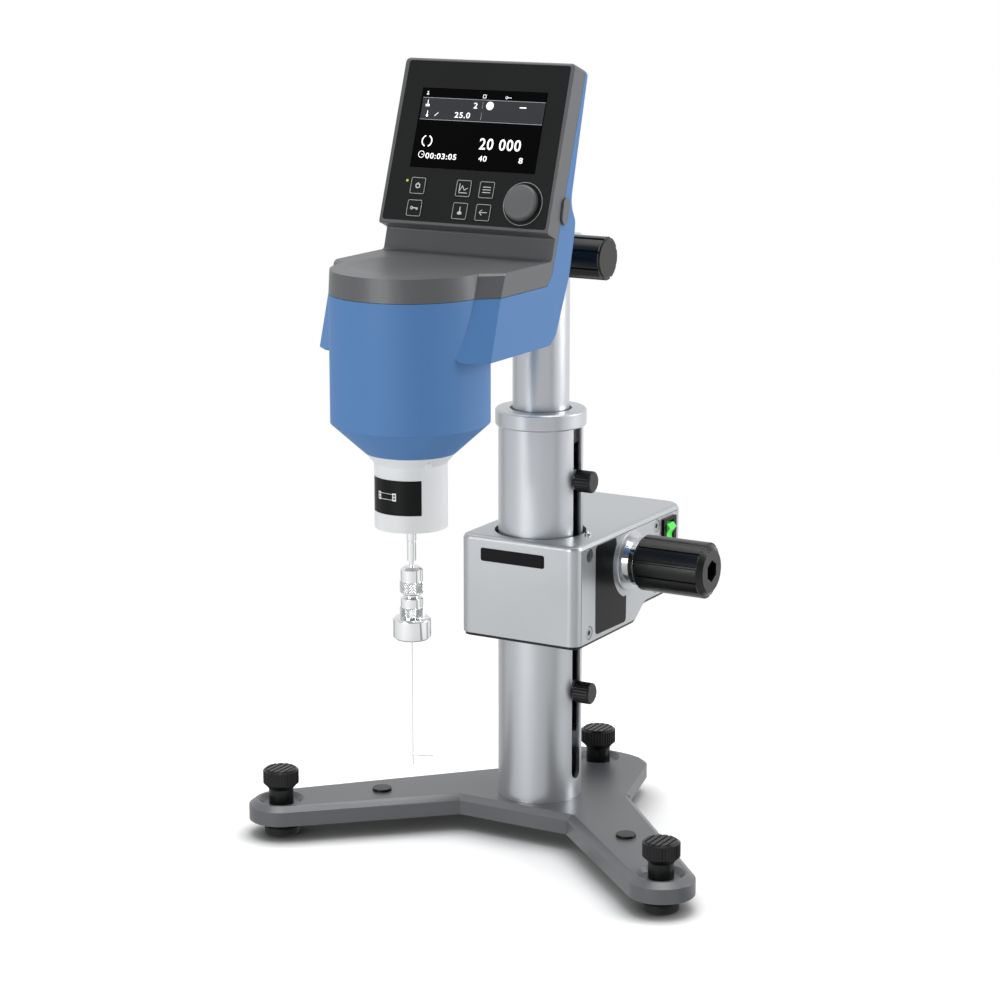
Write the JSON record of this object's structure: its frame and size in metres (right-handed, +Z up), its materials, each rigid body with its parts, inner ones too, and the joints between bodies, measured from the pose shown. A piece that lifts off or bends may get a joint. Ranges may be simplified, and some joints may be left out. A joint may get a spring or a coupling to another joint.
{
  "type": "rotational viscometer",
  "caption": "Rotational viscometer: tilted display head with a T-bar spindle under a white guard, on a motor-driven column stand with a wide three-legged base.",
  "frame": {"origin": "middle of the footprint's bounding box, on the bench under the feet", "axes": "+X to the right as the operator sees it, +Y to the rear, +Z up; the display looks to -Y"},
  "size_m": [0.3512, 0.3575, 0.5535],
  "materials": {
    "cast_grey": "satin",
    "black_plastic": "matte",
    "anodised": "satin",
    "steel": "satin",
    "rubber": "matte",
    "silver_paint": "satin",
    "chrome": "polished",
    "motor_black": "satin",
    "gloss_black": "gloss",
    "green_plastic": "gloss",
    "brass": "satin",
    "blue_plastic": "satin",
    "grey_plastic": "satin",
    "screen": "gloss",
    "aluminium_plate": "satin",
    "board_green": "matte",
    "white_plastic": "satin",
    "key_grey": "satin"
  },
  "bodies": {
    "stand": {"base": "cast_grey", "leg_caps": "black_plastic", "outer_tube": "anodised", "rack": "steel", "collar": "anodised", "guide_bush": "black_plastic"},
    "left_pad": {"foot_pad_left": "rubber"},
    "left_screw": {"foot_screw_left": "black_plastic"},
    "right_pad": {"foot_pad_right": "rubber"},
    "right_screw": {"foot_screw_right": "black_plastic"},
    "rear_pad": {"foot_pad_rear": "rubber"},
    "rear_screw": {"foot_screw_rear": "black_plastic"},
    "upper_stop": {"upper_stop": "steel"},
    "upper_stop_knob": {"upper_stop_knob": "black_plastic"},
    "lower_stop": {"lower_stop": "steel"},
    "lower_stop_knob": {"lower_stop_knob": "black_plastic"},
    "carriage": {"inner_tube": "anodised", "clamp_block": "anodised", "slide_link": "steel", "drive_housing": "silver_paint", "side_cover": "silver_paint", "bottom_cover": "black_plastic", "cover_screws": "steel", "knob_flange": "chrome", "gear_frame": "steel", "lift_motor": "motor_black", "switch_bezel": "gloss_black", "power_inlet": "gloss_black"},
    "drive_train": {"pinion_shaft": "steel", "drive_wheel": "brass"},
    "motor_pinion": {"motor_pinion": "steel"},
    "release_knob": {"release_knob": "black_plastic"},
    "upper_limit_pin": {"upper_limit_pin": "chrome"},
    "lower_limit_pin": {"lower_limit_pin": "chrome"},
    "rocker": {"rocker": "green_plastic"},
    "clamp_knob": {"clamp_knob": "black_plastic"},
    "head": {"head_housing": "blue_plastic", "top_cover": "grey_plastic", "front_panel": "gloss_black", "display": "screen", "side_clip": "grey_plastic", "extension_rod": "steel", "chassis_plate": "aluminium_plate", "drive_motor": "motor_black", "circuit_board": "board_green", "shaft_guard": "white_plastic", "spindle_bearings": "steel"},
    "menu_knob": {"menu_knob": "key_grey"},
    "drive_cage": {"drive_cage": "aluminium_plate"},
    "measuring": {"torsion_spring": "steel", "measuring_shaft": "chrome", "encoder_disc": "brass", "t_spindle": "chrome"},
    "coupling_nut": {"coupling_nut": "chrome"},
    "power_key": {"power_key": "key_grey"},
    "lock_key": {"lock_key": "key_grey"},
    "graph_key": {"graph_key": "key_grey"},
    "menu_key": {"menu_key": "key_grey"},
    "spindle_key": {"spindle_key": "key_grey"},
    "back_key": {"back_key": "key_grey"}
  },
  "joints": [
    {"name": "column_lift", "type": "slide", "parent": "stand", "child": "carriage", "axis": [0, 0, 1], "range_m": [-0.0295, 0.027]},
    {"name": "left_foot_height", "type": "slide", "parent": "stand", "child": "left_pad", "axis": [0, 0, 1], "range_m": [-0.005, 0.0025]},
    {"name": "left_foot_turn", "type": "hinge", "parent": "left_pad", "child": "left_screw", "pos_m": [-0.1524, -0.06, 0], "axis": [0, 0, 1], "range_deg": [-720, 360]},
    {"name": "right_foot_height", "type": "slide", "parent": "stand", "child": "right_pad", "axis": [0, 0, 1], "range_m": [-0.005, 0.0025]},
    {"name": "right_foot_turn", "type": "hinge", "parent": "right_pad", "child": "right_screw", "pos_m": [0.1524, -0.06, 0], "axis": [0, 0, 1], "range_deg": [-720, 360]},
    {"name": "rear_foot_height", "type": "slide", "parent": "stand", "child": "rear_pad", "axis": [0, 0, 1], "range_m": [-0.005, 0.0025]},
    {"name": "rear_foot_turn", "type": "hinge", "parent": "rear_pad", "child": "rear_screw", "pos_m": [0, 0.1387, 0], "axis": [0, 0, 1], "range_deg": [-720, 360]},
    {"name": "upper_stop_height", "type": "slide", "parent": "stand", "child": "upper_stop", "axis": [0, 0, 1], "range_m": [0, 0.018]},
    {"name": "upper_stop_clamp", "type": "hinge", "parent": "upper_stop", "child": "upper_stop_knob", "pos_m": [0.03, 0.048, 0.259], "axis": [1, 0, 0], "range_deg": [0, 90]},
    {"name": "lower_stop_height", "type": "slide", "parent": "stand", "child": "lower_stop", "axis": [0, 0, 1], "range_m": [-0.05, 0]},
    {"name": "lower_stop_clamp", "type": "hinge", "parent": "lower_stop", "child": "lower_stop_knob", "pos_m": [0.03, 0.048, 0.105], "axis": [1, 0, 0], "range_deg": [0, 90]},
    {"name": "lift_pinion_turn", "type": "hinge", "parent": "carriage", "child": "drive_train", "pos_m": [0, 0.09, 0.195], "axis": [1, 0, 0], "range_deg": [-155, 142]},
    {"name": "lift_motor_turn", "type": "hinge", "parent": "carriage", "child": "motor_pinion", "pos_m": [0, 0.11705, 0.18775], "axis": [1, 0, 0], "range_deg": [-353, 386]},
    {"name": "release_knob_turn", "type": "hinge", "parent": "carriage", "child": "release_knob", "pos_m": [0.061, 0.09, 0.195], "axis": [1, 0, 0], "range_deg": [0, 120]},
    {"name": "upper_limit_press", "type": "slide", "parent": "carriage", "child": "upper_limit_pin", "axis": [0, 0, 1], "range_m": [-0.002, 0], "stiffness_N_per_m": 300},
    {"name": "lower_limit_press", "type": "slide", "parent": "carriage", "child": "lower_limit_pin", "axis": [0, 0, 1], "range_m": [0, 0.002], "stiffness_N_per_m": 300},
    {"name": "power_rocker", "type": "hinge", "parent": "carriage", "child": "rocker", "pos_m": [0.046, 0.1505, 0.202], "axis": [0, 1, 0], "range_deg": [-20, 0]},
    {"name": "head_clamp_turn", "type": "hinge", "parent": "carriage", "child": "clamp_knob", "pos_m": [0.022, 0.048, 0.417], "axis": [1, 0, 0], "range_deg": [0, 120]},
    {"name": "head_level", "type": "hinge", "parent": "carriage", "child": "head", "pos_m": [0, 0.048, 0.417], "axis": [0, 1, 0], "range_deg": [-6, 6]},
    {"name": "menu_knob_turn", "type": "hinge", "parent": "head", "child": "menu_knob", "pos_m": [0.0426, -0.05416, 0.46433], "axis": [0, -0.9444, 0.3289], "continuous": true},
    {"name": "power_key_press", "type": "slide", "parent": "head", "child": "power_key", "axis": [0, 0.9444, -0.3289], "range_m": [0, 0.0005], "stiffness_N_per_m": 600},
    {"name": "lock_key_press", "type": "slide", "parent": "head", "child": "lock_key", "axis": [0, 0.9444, -0.3289], "range_m": [0, 0.0005], "stiffness_N_per_m": 600},
    {"name": "graph_key_press", "type": "slide", "parent": "head", "child": "graph_key", "axis": [0, 0.9444, -0.3289], "range_m": [0, 0.0005], "stiffness_N_per_m": 600},
    {"name": "menu_key_press", "type": "slide", "parent": "head", "child": "menu_key", "axis": [0, 0.9444, -0.3289], "range_m": [0, 0.0005], "stiffness_N_per_m": 600},
    {"name": "spindle_key_press", "type": "slide", "parent": "head", "child": "spindle_key", "axis": [0, 0.9444, -0.3289], "range_m": [0, 0.0005], "stiffness_N_per_m": 600},
    {"name": "back_key_press", "type": "slide", "parent": "head", "child": "back_key", "axis": [0, 0.9444, -0.3289], "range_m": [0, 0.0005], "stiffness_N_per_m": 600},
    {"name": "drive_spin", "type": "hinge", "parent": "head", "child": "drive_cage", "pos_m": [0, -0.126, 0.378], "axis": [0, 0, 1], "continuous": true},
    {"name": "torque_deflection", "type": "hinge", "parent": "drive_cage", "child": "measuring", "pos_m": [0, -0.126, 0.3], "axis": [0, 0, 1], "range_deg": [0, 85], "stiffness_Nm_per_rad": 0.00048},
    {"name": "coupling_nut_turn", "type": "hinge", "parent": "measuring", "child": "coupling_nut", "pos_m": [0, -0.126, 0.222], "axis": [0, 0, 1], "range_deg": [0, 180]}
  ],
  "couplings": [
    {"joint": "left_foot_turn", "follows": "left_foot_height", "rad_per_m": 2513.3},
    {"joint": "right_foot_turn", "follows": "right_foot_height", "rad_per_m": 2513.3},
    {"joint": "rear_foot_turn", "follows": "rear_foot_height", "rad_per_m": 2513.3},
    {"joint": "lift_pinion_turn", "follows": "column_lift", "rad_per_m": 90.909},
    {"joint": "lift_motor_turn", "follows": "column_lift", "rad_per_m": -227.27}
  ]
}
